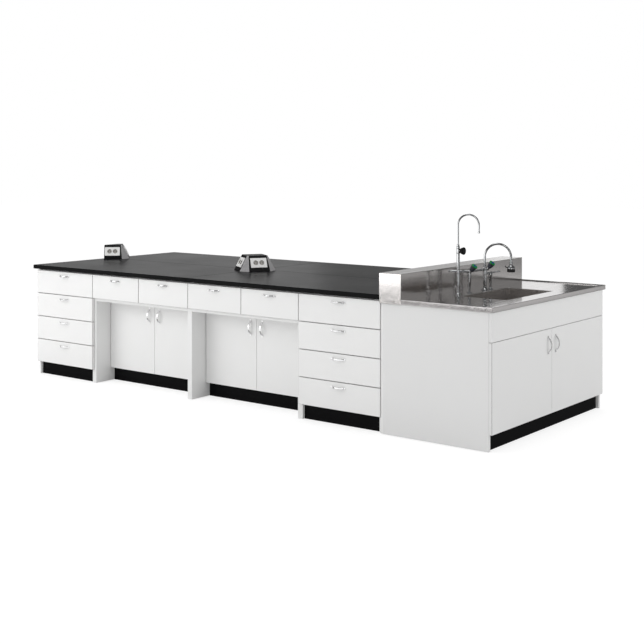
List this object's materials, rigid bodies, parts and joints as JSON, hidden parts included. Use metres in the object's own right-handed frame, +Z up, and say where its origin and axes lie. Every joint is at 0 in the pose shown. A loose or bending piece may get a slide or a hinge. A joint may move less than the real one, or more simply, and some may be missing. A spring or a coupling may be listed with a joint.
{
  "type": "laboratory island bench",
  "caption": "Double-sided laboratory island bench with drawer stacks, knee-hole cupboards, a dark worktop with power boxes, and a stainless sink unit with swan-neck taps across one end.",
  "frame": {"origin": "on the floor under the middle of the whole bench, handles included", "axes": "+X along the bench towards the sink unit, +Y towards the back row of drawers, +Z up"},
  "size_m": [4.072, 1.554, 1.331],
  "materials": {
    "laminate": "satin white melamine",
    "worktop": "satin black solid phenolic",
    "plinth": "black",
    "zinc_steel": "zinc plated",
    "foot_plastic": "black",
    "stainless": "brushed",
    "waste_plastic": "grey white",
    "chrome": "polished",
    "black_plastic": "satin black",
    "grey_plastic": "satin grey",
    "white_plastic": "gloss white",
    "knob_plastic": "dark blue grey"
  },
  "bodies": {
    "bench": {"worktop_slabs": "worktop", "side_panels": "laminate", "cabinet_bottoms": "laminate", "cabinet_backs": "laminate", "top_rails": "laminate", "desk_drawer_frames": "laminate", "kick_boards": "plinth", "drawer_runners": "zinc_steel", "hinge_plates": "zinc_steel", "levelling_feet": "foot_plastic", "sink_cabinet_boards": "laminate", "sink_apron": "laminate", "sink_deck": "stainless", "sink_basin": "stainless", "splash_back": "stainless", "sink_waste": "waste_plastic", "tall_tap_body": "chrome", "swan_tap_body": "chrome", "power_box_shells": "black_plastic", "power_box_corners": "grey_plastic", "socket_plates": "white_plastic"},
    "front_left_stack_drawer_1": {"front_left_stack_drawer_1": "laminate"},
    "front_left_stack_drawer_2": {"front_left_stack_drawer_2": "laminate"},
    "front_left_stack_drawer_3": {"front_left_stack_drawer_3": "laminate"},
    "front_left_stack_drawer_4": {"front_left_stack_drawer_4": "laminate"},
    "front_left_desk_drawer_left": {"front_left_desk_drawer_left": "laminate"},
    "front_left_desk_door_left": {"front_left_desk_door_left": "laminate"},
    "front_left_desk_drawer_right": {"front_left_desk_drawer_right": "laminate"},
    "front_left_desk_door_right": {"front_left_desk_door_right": "laminate"},
    "front_right_desk_drawer_left": {"front_right_desk_drawer_left": "laminate"},
    "front_right_desk_door_left": {"front_right_desk_door_left": "laminate"},
    "front_right_desk_drawer_right": {"front_right_desk_drawer_right": "laminate"},
    "front_right_desk_door_right": {"front_right_desk_door_right": "laminate"},
    "front_right_stack_drawer_1": {"front_right_stack_drawer_1": "laminate"},
    "front_right_stack_drawer_2": {"front_right_stack_drawer_2": "laminate"},
    "front_right_stack_drawer_3": {"front_right_stack_drawer_3": "laminate"},
    "front_right_stack_drawer_4": {"front_right_stack_drawer_4": "laminate"},
    "back_left_stack_drawer_1": {"back_left_stack_drawer_1": "laminate"},
    "back_left_stack_drawer_2": {"back_left_stack_drawer_2": "laminate"},
    "back_left_stack_drawer_3": {"back_left_stack_drawer_3": "laminate"},
    "back_left_stack_drawer_4": {"back_left_stack_drawer_4": "laminate"},
    "back_left_desk_drawer_left": {"back_left_desk_drawer_left": "laminate"},
    "back_left_desk_door_left": {"back_left_desk_door_left": "laminate"},
    "back_left_desk_drawer_right": {"back_left_desk_drawer_right": "laminate"},
    "back_left_desk_door_right": {"back_left_desk_door_right": "laminate"},
    "back_right_desk_drawer_left": {"back_right_desk_drawer_left": "laminate"},
    "back_right_desk_door_left": {"back_right_desk_door_left": "laminate"},
    "back_right_desk_drawer_right": {"back_right_desk_drawer_right": "laminate"},
    "back_right_desk_door_right": {"back_right_desk_door_right": "laminate"},
    "back_right_stack_drawer_1": {"back_right_stack_drawer_1": "laminate"},
    "back_right_stack_drawer_2": {"back_right_stack_drawer_2": "laminate"},
    "back_right_stack_drawer_3": {"back_right_stack_drawer_3": "laminate"},
    "back_right_stack_drawer_4": {"back_right_stack_drawer_4": "laminate"},
    "sink_door_left": {"sink_door_left": "laminate"},
    "sink_door_right": {"sink_door_right": "laminate"},
    "tall_tap_spout": {"tall_tap_spout": "chrome"},
    "needle_valve_knob": {"needle_valve_knob": "knob_plastic"},
    "swan_tap_spout": {"swan_tap_spout": "chrome"},
    "swan_tap_knob": {"swan_tap_knob": "knob_plastic"},
    "side_valve_knob": {"side_valve_knob": "knob_plastic"}
  },
  "joints": [
    {"name": "front_left_stack_drawer_1_slide", "type": "slide", "parent": "bench", "child": "front_left_stack_drawer_1", "axis": [0, -1, 0], "range_m": [0, 0.45]},
    {"name": "front_left_stack_drawer_2_slide", "type": "slide", "parent": "bench", "child": "front_left_stack_drawer_2", "axis": [0, -1, 0], "range_m": [0, 0.45]},
    {"name": "front_left_stack_drawer_3_slide", "type": "slide", "parent": "bench", "child": "front_left_stack_drawer_3", "axis": [0, -1, 0], "range_m": [0, 0.45]},
    {"name": "front_left_stack_drawer_4_slide", "type": "slide", "parent": "bench", "child": "front_left_stack_drawer_4", "axis": [0, -1, 0], "range_m": [0, 0.45]},
    {"name": "front_left_desk_drawer_left_slide", "type": "slide", "parent": "bench", "child": "front_left_desk_drawer_left", "axis": [0, -1, 0], "range_m": [0, 0.45]},
    {"name": "front_left_desk_door_left_hinge", "type": "hinge", "parent": "bench", "child": "front_left_desk_door_left", "pos_m": [-1.346, -0.588, 0.1], "axis": [0, 0, -1], "range_deg": [0, 85]},
    {"name": "front_left_desk_drawer_right_slide", "type": "slide", "parent": "bench", "child": "front_left_desk_drawer_right", "axis": [0, -1, 0], "range_m": [0, 0.45]},
    {"name": "front_left_desk_door_right_hinge", "type": "hinge", "parent": "bench", "child": "front_left_desk_door_right", "pos_m": [-0.411, -0.588, 0.1], "axis": [0, 0, 1], "range_deg": [0, 85]},
    {"name": "front_right_desk_drawer_left_slide", "type": "slide", "parent": "bench", "child": "front_right_desk_drawer_left", "axis": [0, -1, 0], "range_m": [0, 0.45]},
    {"name": "front_right_desk_door_left_hinge", "type": "hinge", "parent": "bench", "child": "front_right_desk_door_left", "pos_m": [-0.361, -0.588, 0.1], "axis": [0, 0, -1], "range_deg": [0, 85]},
    {"name": "front_right_desk_drawer_right_slide", "type": "slide", "parent": "bench", "child": "front_right_desk_drawer_right", "axis": [0, -1, 0], "range_m": [0, 0.45]},
    {"name": "front_right_desk_door_right_hinge", "type": "hinge", "parent": "bench", "child": "front_right_desk_door_right", "pos_m": [0.574, -0.588, 0.1], "axis": [0, 0, 1], "range_deg": [0, 85]},
    {"name": "front_right_stack_drawer_1_slide", "type": "slide", "parent": "bench", "child": "front_right_stack_drawer_1", "axis": [0, -1, 0], "range_m": [0, 0.45]},
    {"name": "front_right_stack_drawer_2_slide", "type": "slide", "parent": "bench", "child": "front_right_stack_drawer_2", "axis": [0, -1, 0], "range_m": [0, 0.45]},
    {"name": "front_right_stack_drawer_3_slide", "type": "slide", "parent": "bench", "child": "front_right_stack_drawer_3", "axis": [0, -1, 0], "range_m": [0, 0.45]},
    {"name": "front_right_stack_drawer_4_slide", "type": "slide", "parent": "bench", "child": "front_right_stack_drawer_4", "axis": [0, -1, 0], "range_m": [0, 0.45]},
    {"name": "back_left_stack_drawer_1_slide", "type": "slide", "parent": "bench", "child": "back_left_stack_drawer_1", "axis": [0, 1, 0], "range_m": [0, 0.45]},
    {"name": "back_left_stack_drawer_2_slide", "type": "slide", "parent": "bench", "child": "back_left_stack_drawer_2", "axis": [0, 1, 0], "range_m": [0, 0.45]},
    {"name": "back_left_stack_drawer_3_slide", "type": "slide", "parent": "bench", "child": "back_left_stack_drawer_3", "axis": [0, 1, 0], "range_m": [0, 0.45]},
    {"name": "back_left_stack_drawer_4_slide", "type": "slide", "parent": "bench", "child": "back_left_stack_drawer_4", "axis": [0, 1, 0], "range_m": [0, 0.45]},
    {"name": "back_left_desk_drawer_left_slide", "type": "slide", "parent": "bench", "child": "back_left_desk_drawer_left", "axis": [0, 1, 0], "range_m": [0, 0.45]},
    {"name": "back_left_desk_door_left_hinge", "type": "hinge", "parent": "bench", "child": "back_left_desk_door_left", "pos_m": [0.574, 0.588, 0.1], "axis": [0, 0, -1], "range_deg": [0, 85]},
    {"name": "back_left_desk_drawer_right_slide", "type": "slide", "parent": "bench", "child": "back_left_desk_drawer_right", "axis": [0, 1, 0], "range_m": [0, 0.45]},
    {"name": "back_left_desk_door_right_hinge", "type": "hinge", "parent": "bench", "child": "back_left_desk_door_right", "pos_m": [-0.361, 0.588, 0.1], "axis": [0, 0, 1], "range_deg": [0, 85]},
    {"name": "back_right_desk_drawer_left_slide", "type": "slide", "parent": "bench", "child": "back_right_desk_drawer_left", "axis": [0, 1, 0], "range_m": [0, 0.45]},
    {"name": "back_right_desk_door_left_hinge", "type": "hinge", "parent": "bench", "child": "back_right_desk_door_left", "pos_m": [-0.411, 0.588, 0.1], "axis": [0, 0, -1], "range_deg": [0, 85]},
    {"name": "back_right_desk_drawer_right_slide", "type": "slide", "parent": "bench", "child": "back_right_desk_drawer_right", "axis": [0, 1, 0], "range_m": [0, 0.45]},
    {"name": "back_right_desk_door_right_hinge", "type": "hinge", "parent": "bench", "child": "back_right_desk_door_right", "pos_m": [-1.346, 0.588, 0.1], "axis": [0, 0, 1], "range_deg": [0, 85]},
    {"name": "back_right_stack_drawer_1_slide", "type": "slide", "parent": "bench", "child": "back_right_stack_drawer_1", "axis": [0, 1, 0], "range_m": [0, 0.45]},
    {"name": "back_right_stack_drawer_2_slide", "type": "slide", "parent": "bench", "child": "back_right_stack_drawer_2", "axis": [0, 1, 0], "range_m": [0, 0.45]},
    {"name": "back_right_stack_drawer_3_slide", "type": "slide", "parent": "bench", "child": "back_right_stack_drawer_3", "axis": [0, 1, 0], "range_m": [0, 0.45]},
    {"name": "back_right_stack_drawer_4_slide", "type": "slide", "parent": "bench", "child": "back_right_stack_drawer_4", "axis": [0, 1, 0], "range_m": [0, 0.45]},
    {"name": "sink_door_left_hinge", "type": "hinge", "parent": "bench", "child": "sink_door_left", "pos_m": [2.007, -0.7465, 0.1], "axis": [0, 0, -1], "range_deg": [0, 105]},
    {"name": "sink_door_right_hinge", "type": "hinge", "parent": "bench", "child": "sink_door_right", "pos_m": [2.007, 0.7465, 0.1], "axis": [0, 0, 1], "range_deg": [0, 105]},
    {"name": "tall_tap_spout_swivel", "type": "hinge", "parent": "bench", "child": "tall_tap_spout", "pos_m": [1.509, -0.286, 1.129], "axis": [0, 0, 1], "range_deg": [-60, 60]},
    {"name": "needle_valve_knob_turn", "type": "hinge", "parent": "bench", "child": "needle_valve_knob", "pos_m": [1.509, -0.286, 1.099], "axis": [1, 0, 0], "range_deg": [0, 270]},
    {"name": "swan_tap_spout_swivel", "type": "hinge", "parent": "bench", "child": "swan_tap_spout", "pos_m": [1.509, 0.048, 0.974], "axis": [0, 0, 1], "range_deg": [-60, 60]},
    {"name": "swan_tap_knob_turn", "type": "hinge", "parent": "bench", "child": "swan_tap_knob", "pos_m": [1.52112, 0.055, 0.954], "axis": [0.6428, 0, 0.766], "range_deg": [0, 90]},
    {"name": "side_valve_knob_turn", "type": "hinge", "parent": "bench", "child": "side_valve_knob", "pos_m": [1.509, -0.15, 0.948], "axis": [0.6428, 0, 0.766], "range_deg": [0, 90]}
  ]
}
